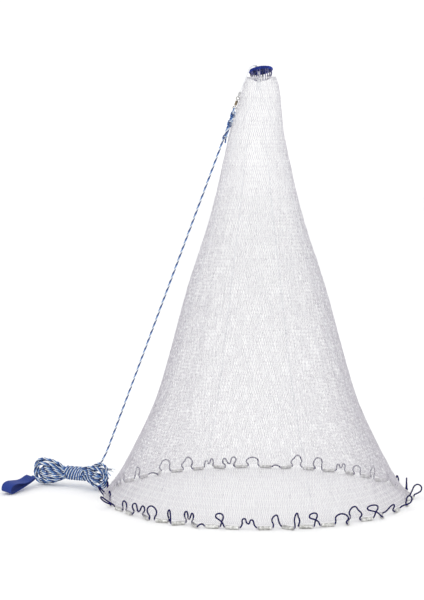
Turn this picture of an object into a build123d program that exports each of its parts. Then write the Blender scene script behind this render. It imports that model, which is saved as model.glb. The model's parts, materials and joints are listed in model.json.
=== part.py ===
"""Cast net hung by its horn: netting cone, lead line with tube sinkers, braille lines,
barrel swivel, hand line with its hank, and wrist strap.

Millimetres, +Z up.  The origin is the centre of the horn, which holds the net up, and
the sinkers just touch the ground at z = GROUND.
"""
from build123d import *
import math
import os

os.makedirs("parts", exist_ok=True)

# Overall
HORN_HEIGHT = 1105.0
GROUND = -HORN_HEIGHT
NET_AXIS_X = -11.0
PANEL_COUNT = 6
FIRST_PANEL_BEARING = 60.0
NETTING_THICKNESS = 1.0
NET_PROFILE = [
    (38.0, 1088.0),
    (45.0, 1066.0),
    (59.0, 1000.0),
    (76.0, 915.0),
    (118.0, 735.0),
    (178.0, 548.0),
    (229.0, 362.0),
    (264.0, 250.0),
    (310.0, 150.0),
    (349.0, 75.0),
    (382.0, 14.0),
]
SKIRT_TOP = 5

# Horn, its twine binding and its lashing
HORN_BORE_R = 16.5
HORN_WALL = 3.5
HORN_LENGTH = 12.0
HORN_LIP = 2.5
BINDING_R = 25.5
BINDING_HALF_WIDTH = 5.8
BINDING_HALF_HEIGHT = 4.5
HORN_TILT = -13.0
HORN_LEAN = -8.0
LASHING_COUNT = 24
LASHING_DIAMETER = 2.4
LASHING_TOP = (25.0, -5.1)
LASHING_FOOT = (18.5, -23.5)

# Lead line and sinkers
RING_R = 400.0
RING_LEFT_INSET = 11.0
SINKER_DIAMETER = 9.5
SINKER_BORE = 4.4
SINKER_LENGTH = 32.0
SINKER_SEAM_WIDTH = 0.9
SINKER_SEAM_DEPTH = 1.6
SINKER_CHAMFER = 0.7
LEAD_LINE_DIAMETER = 3.6
LOOP_WIDTH_MAX = 36.0
LINE_EXIT = 3.5
# Bearing of each sinker from the front, anticlockwise seen from above, in degrees.
SINKER_BEARINGS = [
    -61.0, -53.0, -42.5, -35.0, -28.0, -21.5, -15.0, -8.0, 3.2, 11.2,
    17.6, 25.6, 33.8, 42.7, 51.0, 62.0, 74.5, 84.0, 93.5, 102.5,
    112.0, 121.0, 130.5, 139.0, 149.0, 158.0, 167.5, 176.0, 186.0, 195.0,
    204.0, 214.0, 223.0, 232.0, 242.0, 251.0, 260.5, 270.0, 279.5, 289.0,
]
# Turn of each sinker away from the ring's tangent, in degrees.
SINKER_YAWS = [
    6, -10, -24, 18, 46, -48, 4, -3, 2, -46,
    -20, -8, 54, -10, 44, 8, 12, -35, 10, 28,
    -8, 50, 6, -14, 24, -6, 44, -10, 5, -38,
    12, -6, 40, 8, -12, 10, -14, 6, 18, -12,
]
# Shapes of the line between sinkers: share of the loop's width, rise and outward offset in mm.
LOOP_SHAPES = {
    "low": [(0.3, 5, 1), (0.7, 6, -1)],
    "omega": [
        (0.2, 7, 0), (-0.2, 16, 1), (-0.15, 28, 2), (0.5, 36, 2),
        (1.15, 28, 2), (1.2, 16, 1), (0.8, 7, 0),
    ],
    "arch": [
        (0.2, 9, 0), (0.1, 24, 1), (0.35, 34, 1), (0.75, 33, 0),
        (0.95, 22, -1), (1.1, 12, 0), (0.84, 5, 0),
    ],
    "wave": [
        (0.1, 9, 0), (0.06, 21, 1), (0.3, 24, 1), (0.36, 12, 1),
        (0.57, 9, 0), (0.6, 20, -1), (0.82, 19, -1), (0.86, 8, 0),
    ],
    "swan": [
        (0.2, 8, 0), (-0.05, 18, 1), (0.15, 28, 1), (0.5, 31, 0),
        (0.6, 21, 0), (0.7, 9, 0),
    ],
    "peak": [
        (0.25, 8, 0), (0.05, 20, 0), (0.3, 34, 1), (0.6, 35, 1),
        (0.78, 24, 0), (1.0, 18, 0), (1.07, 11, 0), (0.86, 5, 0),
    ],
    "drop": [
        (0.3, 6, -2), (0.4, 14, -3), (0.62, 21, -3), (0.58, 29, -2), (0.2, 33, -1),
        (-0.4, 31, 0), (-0.5, 23, 2), (0.0, 19, 3), (0.5, 13, 3), (0.7, 6, 2),
    ],
    "hook": [
        (0.16, 8, 0), (0.08, 19, 1), (0.5, 27, 1), (0.95, 22, 0),
        (1.1, 12, 0), (0.86, 5, 0),
    ],
    "eye": [
        (0.18, 6, -2), (0.3, 16, -3), (0.42, 27, -3), (0.28, 37, -2),
        (0.42, 44, 0), (0.6, 38, 2), (0.46, 27, 3), (0.55, 16, 3), (0.78, 7, 1),
    ],
    "twin": [
        (0.2, 8, 0), (-0.08, 17, -1), (0.05, 28, -1), (0.33, 28, -1), (0.42, 18, 0),
        (0.47, 10, 0), (0.66, 10, 1), (0.8, 19, 1), (0.9, 26, 1), (1.1, 25, 1),
        (1.17, 14, 1), (0.88, 6, 0),
    ],
    "spur": [
        (0.2, 5, 4), (0.2, 14, 12), (0.42, 25, 19), (0.68, 21, 17),
        (0.78, 11, 9), (0.86, 5, 3),
    ],
    "curl": [
        (0.18, 6, 4), (0.2, 9, 13), (0.28, 14, 24), (0.42, 24, 27),
        (0.56, 31, 19), (0.68, 27, 9), (0.78, 15, 5), (0.86, 6, 2),
    ],
    "flare": [
        (0.2, 5, 6), (0.22, 10, 19), (0.32, 22, 32), (0.5, 29, 33),
        (0.64, 19, 22), (0.78, 10, 9), (0.86, 5, 2),
    ],
}
# Loop in the gap after each sinker.
LOOPS = [
    "hook", "twin", "omega", "swan", "twin", "low", "drop", "wave", "swan", "peak",
    "drop", "hook", "peak", "drop", "spur", "curl", "low", "curl", "arch", "swan",
    "twin", "peak", "hook", "wave", "arch", "peak", "low", "hook", "twin", "wave",
    "peak", "arch", "low", "swan", "hook", "wave", "wave", "spur", "hook", "flare",
]

# Swivel
SWIVEL_CENTRE = (-62.5, -40.0, GROUND + 1021.0)
SWIVEL_FOOT = (-101.0, -10.0, GROUND + 915.0)
BARREL_R = 3.4
BARREL_LENGTH = 12.0
BARREL_CAVITY_R = 2.5
BARREL_END_WALL = 2.0
SHANK_R = 1.0
SHANK_CLEARANCE = 0.06
SHANK_HEAD_R = 2.2
SHANK_HEAD_LENGTH = 1.6
EYE_RING_R = 4.2
EYE_WIRE_R = 0.9
EYE_OFFSET = 13.0

# Braille lines and their crimp
BRAILLE_COUNT = 8
BRAILLE_DIAMETER = 1.2
BRAILLE_INSET = 8.0
BRAILLE_NECK = (-5.0, -55.0)
BRAILLE_NECK_R = 7.0
BRAILLE_PITCH = 1.6
BRAILLE_HEIGHTS = (24.0, 90.0, 220.0, 400.0, 560.0, 740.0, 915.0)
# Middle of the bundle in the horn and over its rim, and the outer layer's shift: reach and Z.
BRAILLE_RIM_BEARING = 35.0
BRAILLE_RIM = [(-7.0, 0.0), (-16.0, 13.0), (-33.0, 8.0)]
BRAILLE_LAYER_SHIFT = [(1.7, 0.0), (0.8, 1.9), (-1.1, 1.4)]
BRAILLE_COLUMN_PITCH = 2.0
CRIMP_SIZE = (6.0, 9.0, 10.0)
CRIMP_OFFSET = 25.0
CRIMP_LOOP_R = 0.8
CRIMP_LOOP_BEND = 2.2

# Hand line
ROPE_DIAMETER = 5.5
ROPE_EYE_DIAMETER = 4.2
ROPE_EYE_BEND = 3.4
ROPE_EYE_FOOT = 27.0
KNOT_PROFILE = [(2.5, 25.0), (6.4, 31.0), (3.6, 43.0), (5.8, 56.0), (5.2, 86.0), (4.4, 116.7)]
ROPE_RUN = [
    (-101.0, -10.0, 915.0),
    (-409.0, 82.0, 98.0),
    (-427.0, 82.0, 64.0),
]
# The hank lies in two straight parts that meet in its waist.
HANK_TIP = (-609.0, 154.0, 38.0)
HANK_WAIST = (-474.0, 119.0, 34.0)
HANK_LEFT_PROFILE = [(0.0, 14.0), (28.0, 36.0), (62.0, 28.5), (88.0, 19.0), (139.0, 18.0)]
HANK_TOE = (-417.0, 58.0, 40.0)
HANK_RIGHT_PROFILE = [(0.0, 17.0), (14.0, 21.0), (36.0, 31.5), (58.0, 35.5), (80.0, 29.0), (95.0, 12.0)]

# Wrist strap
STRAP_CENTRE = (-632.5, 71.5, 16.4)
STRAP_LENGTHWAYS = (0.426, 0.891, 0.158)
STRAP_ACROSS = (0.868, -0.449, -0.21)
STRAP_WIDTH = 30.0
STRAP_THICKNESS = 1.8
STRAP_LOOP = [
    (-79.0, 0.0),
    (-79.0, 20.0),
    (-62.0, 24.5),
    (-34.0, 16.5),
    (4.0, 4.2),
    (42.0, 7.5),
    (45.0, 2.5),
    (10.0, -1.5),
    (-50.0, -2.0),
]
STRAP_FOLD_RADII = [5.0, 7.0, 16.0, 40.0, 40.0, 2.2, 2.2, 60.0, 60.0]
STRAP_KNOT_R = 6.5
STRAP_KNOT = (-610.0, 119.0, 22.5)


def above_ground(point):
    return (point[0], point[1], GROUND + point[2])


def save(shape, name):
    export_step(shape, f"parts/{name}.step")
    print(name, round(shape.volume, 1))


def corner_radii(points, end_reach=None):
    """Largest arc that each corner's two runs allow; end_reach limits the outer corners' arcs."""
    vectors = [Vector(*p) for p in points]
    radii = []
    last = len(points) - 3
    for index, (before, corner, after) in enumerate(zip(vectors, vectors[1:], vectors[2:])):
        run_in = corner - before
        run_out = after - corner
        half_turn = math.radians(run_in.get_angle(run_out)) / 2
        reach = 0.45 * min(run_in.length, run_out.length)
        if end_reach and index in (0, last):
            reach = min(reach, end_reach)
        radii.append(reach / math.tan(half_turn))
    return radii


def tube(points, diameter, end_reach=None):
    """Round tube along straight runs joined by tangent arcs."""
    radii = corner_radii(points, end_reach)
    path = FilletPolyline(*points, radius=radii)
    section = Plane(origin=path @ 0, z_dir=path % 0) * Circle(diameter / 2)
    return sweep(section, path=path), radii


def rod(start, end, diameter):
    axis = Vector(*end) - Vector(*start)
    plane = Plane(origin=start, z_dir=axis)
    return plane * Cylinder(diameter / 2, axis.length, align=(Align.CENTER, Align.CENTER, Align.MIN))


# ---------------------------------------------------------------- netting
def make_net_tier(profile, name):
    """One tier of the netting's shell, a group of equal sectors."""
    outer = [(r, GROUND + z) for r, z in profile]
    inner = [(r - NETTING_THICKNESS, z) for r, z in outer]
    edge = Spline(*outer) + Line(outer[-1], inner[-1])
    edge += Spline(*reversed(inner)) + Line(inner[0], outer[0])
    face = Plane.XZ * make_face(edge)
    angle = 360.0 / PANEL_COUNT
    panel = revolve(face, axis=Axis.Z, revolution_arc=angle)
    panels = []
    for number in range(PANEL_COUNT):
        turned = Rotation(0, 0, FIRST_PANEL_BEARING + number * angle) * panel
        panels.append(Pos(NET_AXIS_X, 0, 0) * turned)
    save(Compound(children=panels), name)


def make_netting():
    make_net_tier(NET_PROFILE[:SKIRT_TOP + 1], "net_upper")
    make_net_tier(NET_PROFILE[SKIRT_TOP:], "net_skirt")


# ---------------------------------------------------------------- horn
def horn_place():
    return Rotation(HORN_TILT, HORN_LEAN, 0)


def make_horn():
    place = horn_place()
    outer_r = HORN_BORE_R + HORN_WALL
    body = Cylinder(outer_r, HORN_LENGTH)
    body += Pos(0, 0, HORN_LENGTH / 2 - 1) * Cylinder(outer_r + HORN_LIP, 2)
    body += Pos(0, 0, 1 - HORN_LENGTH / 2) * Cylinder(outer_r + HORN_LIP, 2)
    body -= Cylinder(HORN_BORE_R, HORN_LENGTH)
    rims = body.edges().filter_by(GeomType.CIRCLE).group_by(Axis.Z)
    body = chamfer(rims[0] + rims[-1], 0.6)
    save(place * body, "horn_ring")
    section = Plane.XZ * (Pos(BINDING_R, 0) * Ellipse(BINDING_HALF_WIDTH, BINDING_HALF_HEIGHT))
    binding = revolve(section, axis=Axis.Z, revolution_arc=360)
    binding -= Cylinder(outer_r, HORN_LENGTH)
    save(place * binding, "horn_binding")


def make_crown_lashing():
    place = horn_place()
    strands = []
    for number in range(LASHING_COUNT):
        bearing = math.radians((number + 0.5) * 360 / LASHING_COUNT)
        ends = []
        for radius, height in (LASHING_TOP, LASHING_FOOT):
            ends.append((radius * math.cos(bearing), radius * math.sin(bearing), height))
        strands.append(place * rod(ends[0], ends[1], LASHING_DIAMETER))
    save(Compound(children=strands), "crown_lashing")


# ---------------------------------------------------------------- sinkers and lead line
def sinker_place(number):
    """Centre and unit direction of one sinker."""
    bearing = math.radians(SINKER_BEARINGS[number])
    heading = bearing + math.radians(SINKER_YAWS[number])
    radius = RING_R - RING_LEFT_INSET * max(0.0, -math.sin(bearing)) ** 2
    centre = Vector(
        NET_AXIS_X + radius * math.sin(bearing),
        -radius * math.cos(bearing),
        GROUND + SINKER_DIAMETER / 2,
    )
    return centre, Vector(math.cos(heading), math.sin(heading), 0)


def make_sinkers():
    tube_body = Cylinder(SINKER_DIAMETER / 2, SINKER_LENGTH) - Cylinder(SINKER_BORE / 2, SINKER_LENGTH)
    rims = tube_body.edges().filter_by(GeomType.CIRCLE).group_by(SortBy.RADIUS)[-1]
    tube_body = chamfer(rims, SINKER_CHAMFER)
    seam = Pos(SINKER_DIAMETER / 2, 0, 0) * Box(2 * SINKER_SEAM_DEPTH, SINKER_SEAM_WIDTH, SINKER_LENGTH)
    tube_body -= seam
    for number in range(len(SINKER_BEARINGS)):
        centre, along = sinker_place(number)
        place = Plane(origin=centre, x_dir=(0, 0, 1), z_dir=along)
        save(place * tube_body, f"sinker_{number + 1:02d}")


def lead_line_route(number):
    """Line from the middle of one sinker to the middle of the next."""
    start, start_way = sinker_place(number)
    end, end_way = sinker_place((number + 1) % len(SINKER_BEARINGS))
    half = SINKER_LENGTH / 2
    gap_start = start + start_way * half
    gap_end = end - end_way * half
    chord = gap_end - gap_start
    gap = chord.length
    width = min(gap, LOOP_WIDTH_MAX)
    margin = (gap - width) / 2
    along = chord.normalized()
    outward = along.cross(Vector(0, 0, 1))
    route = [start, gap_start + start_way * LINE_EXIT]
    for share, rise, offset in LOOP_SHAPES[LOOPS[number]]:
        reach = margin + share * width
        route.append(gap_start + along * reach + Vector(0, 0, rise) + outward * offset)
    route += [gap_end - end_way * LINE_EXIT, end]
    return [tuple(p) for p in route]


def make_lead_line():
    spans = []
    tightest = 1000.0
    length = 0.0
    for number in range(len(SINKER_BEARINGS)):
        span, radii = tube(lead_line_route(number), LEAD_LINE_DIAMETER, LINE_EXIT)
        spans.append(span)
        tightest = min(tightest, min(radii))
        length += span.volume / (math.pi * LEAD_LINE_DIAMETER**2 / 4)
    print("lead line length", round(length), "tightest radius", round(tightest, 1))
    save(Compound(children=spans), "lead_line")


# ---------------------------------------------------------------- braille lines
def profile_radius(height):
    for (r_high, z_high), (r_low, z_low) in zip(NET_PROFILE, NET_PROFILE[1:]):
        if z_low <= height <= z_high:
            share = (height - z_low) / (z_high - z_low)
            return r_low + share * (r_high - r_low)
    return NET_PROFILE[0][0]


def braille_route(number):
    """Up the inside of the netting, through the horn, over its rim and down to the crimp."""
    bearing = math.radians((number + 0.5) * 360 / BRAILLE_COUNT)
    across = math.cos(bearing)
    forward = math.sin(bearing)
    points = []
    for height in BRAILLE_HEIGHTS:
        radius = profile_radius(height) - BRAILLE_INSET
        points.append((NET_AXIS_X + radius * across, radius * forward, GROUND + height))
    column = number % 4 - 1.5
    layer = number // 4
    neck_x, neck_z = BRAILLE_NECK
    points.append((neck_x + BRAILLE_NECK_R * across, BRAILLE_NECK_R * forward, neck_z))
    turn = Rotation(0, 0, BRAILLE_RIM_BEARING)
    for (reach, z), (shift_reach, shift_z) in zip(BRAILLE_RIM, BRAILLE_LAYER_SHIFT):
        place = turn * Pos(reach + layer * shift_reach, column * BRAILLE_COLUMN_PITCH, z + layer * shift_z)
        points.append(tuple(place.position))
    top = swivel_plane().from_local_coords(
        Vector((layer - 0.5) * -BRAILLE_PITCH, column * BRAILLE_PITCH, CRIMP_OFFSET + CRIMP_SIZE[2] / 2)
    )
    neck = top + swivel_plane().z_dir * 10
    points.append(tuple(neck))
    points.append(tuple(top))
    return points


def make_braille_lines():
    lines = []
    for number in range(BRAILLE_COUNT):
        line, radii = tube(braille_route(number), BRAILLE_DIAMETER)
        lines.append(line)
        length = line.volume / (math.pi * BRAILLE_DIAMETER**2 / 4)
        print("braille", number + 1, "length", round(length), "radii", [round(r, 1) for r in radii])
    save(Compound(children=lines), "braille_lines")


# ---------------------------------------------------------------- swivel
def swivel_plane():
    """Plane whose +Z points up along the hand line's pull."""
    up = Vector(*SWIVEL_CENTRE) - Vector(*SWIVEL_FOOT)
    return Plane(origin=SWIVEL_CENTRE, x_dir=(1, 0, 0), z_dir=up)


def make_crimp():
    body = Box(*CRIMP_SIZE)
    body = fillet(body.edges().filter_by(Axis.Z), 2.0)
    body = Pos(0, 0, CRIMP_OFFSET) * body
    wire_low = EYE_OFFSET + EYE_RING_R
    foot = CRIMP_OFFSET - CRIMP_SIZE[2] / 2
    body += u_bend(wire_low, foot, CRIMP_LOOP_BEND, CRIMP_LOOP_R, 1)
    save(swivel_plane() * body, "braille_crimp")


def u_bend(crown, foot, bend, radius, side):
    """Round bar bent into a U round a wire at z = crown, its legs reaching z = foot."""
    legs = Line((0, -bend, side * foot), (0, -bend, side * crown))
    arc = ThreePointArc((0, -bend, side * crown), (0, 0, side * (crown - bend)), (0, bend, side * crown))
    legs2 = Line((0, bend, side * crown), (0, bend, side * foot))
    path = legs + arc + legs2
    section = Plane(origin=(0, -bend, side * foot), z_dir=(0, 0, -side)) * Circle(radius)
    return sweep(section, path=path)


def make_swivel():
    plane = swivel_plane()
    barrel = Cylinder(BARREL_R, BARREL_LENGTH)
    barrel = fillet(barrel.edges().filter_by(GeomType.CIRCLE), 1.2)
    barrel -= Cylinder(BARREL_CAVITY_R, BARREL_LENGTH - 2 * BARREL_END_WALL)
    barrel -= Cylinder(SHANK_R + SHANK_CLEARANCE, BARREL_LENGTH)
    save(plane * barrel, "swivel_barrel")
    for side, name in ((1, "swivel_upper_eye"), (-1, "swivel_lower_eye")):
        ring = Plane.XZ * Torus(EYE_RING_R, EYE_WIRE_R)
        ring = Pos(0, 0, side * EYE_OFFSET) * ring
        top = EYE_OFFSET - EYE_RING_R
        foot = BARREL_LENGTH / 2 - BARREL_END_WALL - 0.3
        shank = Pos(0, 0, side * (top + foot) / 2) * Cylinder(SHANK_R, top - foot)
        head_z = foot - SHANK_HEAD_LENGTH / 2
        head = Pos(0, 0, side * head_z) * Cylinder(SHANK_HEAD_R, SHANK_HEAD_LENGTH)
        save(plane * (ring + shank + head), name)


# ---------------------------------------------------------------- hand line
def make_hand_line():
    plane = swivel_plane()
    knot_points = [(r, -z) for r, z in KNOT_PROFILE]
    top = (0, knot_points[0][1])
    foot = (0, knot_points[-1][1])
    outline = Spline(*knot_points) + Line(knot_points[-1], foot) + Line(foot, top)
    outline += Line(top, knot_points[0])
    knot = revolve(Plane.XZ * make_face(outline), axis=Axis.Z, revolution_arc=360)
    crown = EYE_OFFSET + EYE_RING_R
    knot += u_bend(crown, ROPE_EYE_FOOT, ROPE_EYE_BEND, ROPE_EYE_DIAMETER / 2, -1)
    save(plane * knot, "hand_line_knot")

    route = [above_ground(p) for p in ROPE_RUN]
    run, radii = tube(route, ROPE_DIAMETER)
    area = math.pi * ROPE_DIAMETER**2 / 4
    print("hand line run", round(run.volume / area), "radii", [round(r, 1) for r in radii])
    save(run, "hand_line_run")

    hank = hank_part(HANK_TIP, HANK_WAIST, HANK_LEFT_PROFILE)
    hank += hank_part(HANK_WAIST, HANK_TOE, HANK_RIGHT_PROFILE)
    save(hank, "hand_line_hank")


def hank_part(start, end, profile):
    """Round solid along the line from start towards end; the profile is (distance, radius)."""
    axis = Vector(*end) - Vector(*start)
    across = axis.cross(Vector(0, 0, 1))
    place = Plane(origin=above_ground(start), x_dir=axis, z_dir=across)
    first = (profile[0][0], 0)
    last = (profile[-1][0], 0)
    outline = Line(first, profile[0]) + Spline(*profile)
    outline += Line(profile[-1], last) + Line(last, first)
    return place * revolve(make_face(outline), axis=Axis.X, revolution_arc=360)


# ---------------------------------------------------------------- wrist strap
def make_wrist_strap():
    along = Vector(*STRAP_LENGTHWAYS).normalized()
    across = Vector(*STRAP_ACROSS)
    across = (across - along * across.dot(along)).normalized()
    place = Plane(origin=above_ground(STRAP_CENTRE), x_dir=along, z_dir=across)
    middle = make_face(FilletPolyline(*STRAP_LOOP, radius=STRAP_FOLD_RADII, close=True))
    outer = extrude(offset(middle, STRAP_THICKNESS / 2), STRAP_WIDTH / 2, both=True)
    inner = extrude(offset(middle, -STRAP_THICKNESS / 2), STRAP_WIDTH / 2, both=True)
    band = outer - inner
    save(place * band, "wrist_strap")
    save(Pos(*above_ground(STRAP_KNOT)) * Sphere(STRAP_KNOT_R), "strap_knot")


make_netting()
make_horn()
make_crown_lashing()
make_sinkers()
make_lead_line()
make_braille_lines()
make_crimp()
make_swivel()
make_hand_line()
make_wrist_strap()
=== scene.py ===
import json
import math
import random

import bpy
import numpy as np
from mathutils import Matrix, Vector


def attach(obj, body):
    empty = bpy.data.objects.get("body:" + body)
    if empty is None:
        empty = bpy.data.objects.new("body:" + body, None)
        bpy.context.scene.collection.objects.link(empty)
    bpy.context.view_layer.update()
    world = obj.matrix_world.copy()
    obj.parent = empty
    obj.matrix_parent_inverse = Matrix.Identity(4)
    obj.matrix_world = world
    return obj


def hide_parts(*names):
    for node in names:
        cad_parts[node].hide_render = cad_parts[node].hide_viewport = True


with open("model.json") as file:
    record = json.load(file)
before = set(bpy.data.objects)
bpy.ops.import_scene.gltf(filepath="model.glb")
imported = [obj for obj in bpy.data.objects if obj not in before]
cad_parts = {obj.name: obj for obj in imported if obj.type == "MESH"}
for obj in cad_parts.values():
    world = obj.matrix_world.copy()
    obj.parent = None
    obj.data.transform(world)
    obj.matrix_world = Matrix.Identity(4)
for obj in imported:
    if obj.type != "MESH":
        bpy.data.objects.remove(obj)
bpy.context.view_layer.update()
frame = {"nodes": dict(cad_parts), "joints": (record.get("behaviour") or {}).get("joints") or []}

# ---------------------------------------------------------------- sizes and places, metres
MM = 0.001
HORN_HEIGHT = 1.105
GROUND = -HORN_HEIGHT
NET_AXIS_X = -0.011
NET_PROFILE = [
    (0.038, 1.088), (0.045, 1.066), (0.059, 1.000), (0.076, 0.915), (0.118, 0.735),
    (0.178, 0.548), (0.229, 0.362), (0.264, 0.250), (0.310, 0.150), (0.349, 0.075),
    (0.382, 0.014),
]
PANEL_COUNT = 6
FIRST_PANEL_BEARING = 60.0
MESH_ROWS = 114
MESH_WIDTH = 0.0044
MESH_WIDTH_AT_TOP = 0.0054
ROWS_PER_BAND = 6
TWINE_RADIUS = 0.00034
KNOT_RADIUS = 0.00048
HEM_RADIUS = 0.3975
HEM_HEIGHT = 0.0118
# Rows that are drawn in to the hem, and how sharply.
HEM_ROWS = 7
HEM_POWER = 1.4
CROWN_LEAN = 0.0115
LEAN_HEIGHTS = (0.93, 1.075)
KNOT_SCATTER = 0.00035
GREY_SHARE_AT_HEM = 0.9
# Count round the net, share of the depth, start and drift of each ripple.
PLEATS = [(9, 1.0, 0.7, 1.2), (17, 0.6, 2.1, -2.0), (31, 0.45, 0.3, 3.0)]
PLEAT_DEPTH = 0.0022
PLEAT_POWER = 1.3
KNOT_ARMS = [(1, 0, 0), (0, 1, 0), (-1, 0, 0), (0, -1, 0), (0, 0, 1.3), (0, 0, -1.3)]
KNOT_SIDES = [
    (0, 1, 4), (1, 2, 4), (2, 3, 4), (3, 0, 4), (1, 0, 5), (2, 1, 5), (3, 2, 5), (0, 3, 5),
]
TIE_RADIUS = 0.0021
TIE_TWINE = 0.0005
TIE_POINTS = 10
# Gap from a sinker's end to the first turn of its tie, between turns, and to the hem's twine.
TIE_START = 0.0012
TIE_SPACING = 0.0011
TIE_HEM_START = 0.0018
TIE_HEM_REACH = 0.003

LEAD_LINE_DIAMETER = 0.0036
LEAD_LINE_PITCH = 0.0100
LEAD_LINE_FULLNESS = 1.4
LEAD_LINE_STEP = 0.0011
BORE_REACH = 0.003
LOOP_WIDTH_MAX = 0.036
LINE_EXIT = 0.0035
SINKER_LENGTH = 0.032
# Shapes of the line between sinkers: share of the loop's width, rise and outward offset in mm.
LOOP_SHAPES = {
    "low": [(0.3, 5, 1), (0.7, 6, -1)],
    "omega": [
        (0.2, 7, 0), (-0.2, 16, 1), (-0.15, 28, 2), (0.5, 36, 2),
        (1.15, 28, 2), (1.2, 16, 1), (0.8, 7, 0),
    ],
    "arch": [
        (0.2, 9, 0), (0.1, 24, 1), (0.35, 34, 1), (0.75, 33, 0),
        (0.95, 22, -1), (1.1, 12, 0), (0.84, 5, 0),
    ],
    "wave": [
        (0.1, 9, 0), (0.06, 21, 1), (0.3, 24, 1), (0.36, 12, 1),
        (0.57, 9, 0), (0.6, 20, -1), (0.82, 19, -1), (0.86, 8, 0),
    ],
    "swan": [
        (0.2, 8, 0), (-0.05, 18, 1), (0.15, 28, 1), (0.5, 31, 0),
        (0.6, 21, 0), (0.7, 9, 0),
    ],
    "peak": [
        (0.25, 8, 0), (0.05, 20, 0), (0.3, 34, 1), (0.6, 35, 1),
        (0.78, 24, 0), (1.0, 18, 0), (1.07, 11, 0), (0.86, 5, 0),
    ],
    "drop": [
        (0.3, 6, -2), (0.4, 14, -3), (0.62, 21, -3), (0.58, 29, -2), (0.2, 33, -1),
        (-0.4, 31, 0), (-0.5, 23, 2), (0.0, 19, 3), (0.5, 13, 3), (0.7, 6, 2),
    ],
    "hook": [
        (0.16, 8, 0), (0.08, 19, 1), (0.5, 27, 1), (0.95, 22, 0),
        (1.1, 12, 0), (0.86, 5, 0),
    ],
    "twin": [
        (0.2, 8, 0), (-0.08, 17, -1), (0.05, 28, -1), (0.33, 28, -1), (0.42, 18, 0),
        (0.47, 10, 0), (0.66, 10, 1), (0.8, 19, 1), (0.9, 26, 1), (1.1, 25, 1),
        (1.17, 14, 1), (0.88, 6, 0),
    ],
    "spur": [
        (0.2, 5, 4), (0.2, 14, 12), (0.42, 25, 19), (0.68, 21, 17),
        (0.78, 11, 9), (0.86, 5, 3),
    ],
    "curl": [
        (0.18, 6, 4), (0.2, 9, 13), (0.28, 14, 24), (0.42, 24, 27),
        (0.56, 31, 19), (0.68, 27, 9), (0.78, 15, 5), (0.86, 6, 2),
    ],
    "flare": [
        (0.2, 5, 6), (0.22, 10, 19), (0.32, 22, 32), (0.5, 29, 33),
        (0.64, 19, 22), (0.78, 10, 9), (0.86, 5, 2),
    ],
}
# Loop in the gap after each sinker.
LOOPS = [
    "hook", "twin", "omega", "swan", "twin", "low", "drop", "wave", "swan", "peak",
    "drop", "hook", "peak", "drop", "spur", "curl", "low", "curl", "arch", "swan",
    "twin", "peak", "hook", "wave", "arch", "peak", "low", "hook", "twin", "wave",
    "peak", "arch", "low", "swan", "hook", "wave", "wave", "spur", "hook", "flare",
]

HORN_TILT = -13.0
HORN_LEAN = -8.0
BINDING_R = 0.0255
BINDING_HALF_WIDTH = 0.0058
BINDING_HALF_HEIGHT = 0.0045
BINDING_TURNS = 66
BINDING_POINTS = 16
BINDING_TWINE = 0.0011
# Share and count round the rim of each unevenness of the winding.
BINDING_WOBBLES = [(0.02, 7), (0.015, 23)]
CORE_POINTS = 96
CORE_CLEARANCE = 1.3
LASHING_COUNT = 24
LASHING_FOOT = (0.0185, -0.0235)
# Radius and height of a lashing twine from the rim's outside to its foot.
LASHING_ROUTE = [
    (0.0280, -0.0020), (0.0276, -0.0080), (0.0262, -0.0140), (0.0232, -0.0190), LASHING_FOOT,
]

LASHING_SPREAD = 0.026
LASHING_SWAY = 0.03
LASHING_DRIFT = (-0.0004, 0.0008)
LASHING_STEP = 0.0016
LASHING_TWINE = 0.0017
LASHING_PITCH = 0.006

SWIVEL_CENTRE = Vector((-0.0625, -0.040, GROUND + 1.021))
SWIVEL_FOOT = Vector((-0.101, -0.010, GROUND + 0.915))
EYE_CROWN = 0.0138

ROPE_DIAMETER = 0.0052
ROPE_PITCH = 0.024
# Corners of the hand line from the foot of its knot to the hank, z above the ground.
ROPE_RUN = [
    (-0.101, -0.010, 0.915),
    (-0.409, 0.082, 0.098),
    (-0.427, 0.082, 0.064),
]
# Middle line of the hank, which bends in its waist.
HANK_LINE = [
    Vector((-0.609, 0.154, GROUND + 0.038)),
    Vector((-0.474, 0.119, GROUND + 0.034)),
    Vector((-0.417, 0.058, GROUND + 0.040)),
]
STRAP_KNOT = Vector((-0.610, 0.119, GROUND + 0.0225))
STRAP_CENTRE = Vector((-0.6325, 0.0715, GROUND + 0.0164))
STRAP_LENGTHWAYS = Vector((0.426, 0.891, 0.158))
STRAP_ACROSS = Vector((0.868, -0.449, -0.21))
STRAP_WIDTH = 0.030
STRAP_THICKNESS = 0.0018
STRAP_LOOP = [
    (-79, 0), (-79, 20), (-62, 24.5), (-34, 16.5), (4, 4.2), (42, 7.5), (45, 2.5),
    (10, -1.5), (-50, -2),
]

CAMERA_DISTANCE = 4.4
CAMERA_HEIGHT = 0.9
CAMERA_PITCH = -5.0
CAMERA_YAW = 1.485
CAMERA_LENS = 102.3

WORLD_STRENGTH = 1.08
# Name, place, watts and size of each lamp.
LAMPS = [
    ("key", (-2.4, -3.0, 3.0), 18.0, 3.0),
    ("fill", (2.8, -2.0, 2.2), 8.0, 3.0),
    ("rim", (0.6, 3.2, 2.6), 8.0, 2.4),
]
LAMP_TARGET = Vector((-0.1, 0, -0.6))
FLOOR_HALF = 30.0

# Noise scales and ramp ends of the materials.
MOTTLE_LOW = 0.35
MOTTLE_HIGH = 0.68
TARNISH_SCALE = 160.0
SCRATCH_SCALE = 260.0

random.seed(4)


# ---------------------------------------------------------------- node helpers
def new_material(name, color, roughness, metallic=0.0):
    material = bpy.data.materials.new(name)
    material.use_nodes = True
    shader = material.node_tree.nodes["Principled BSDF"]
    shader.inputs["Base Color"].default_value = (*color, 1.0)
    shader.inputs["Roughness"].default_value = roughness
    shader.inputs["Metallic"].default_value = metallic
    return material, shader


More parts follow.
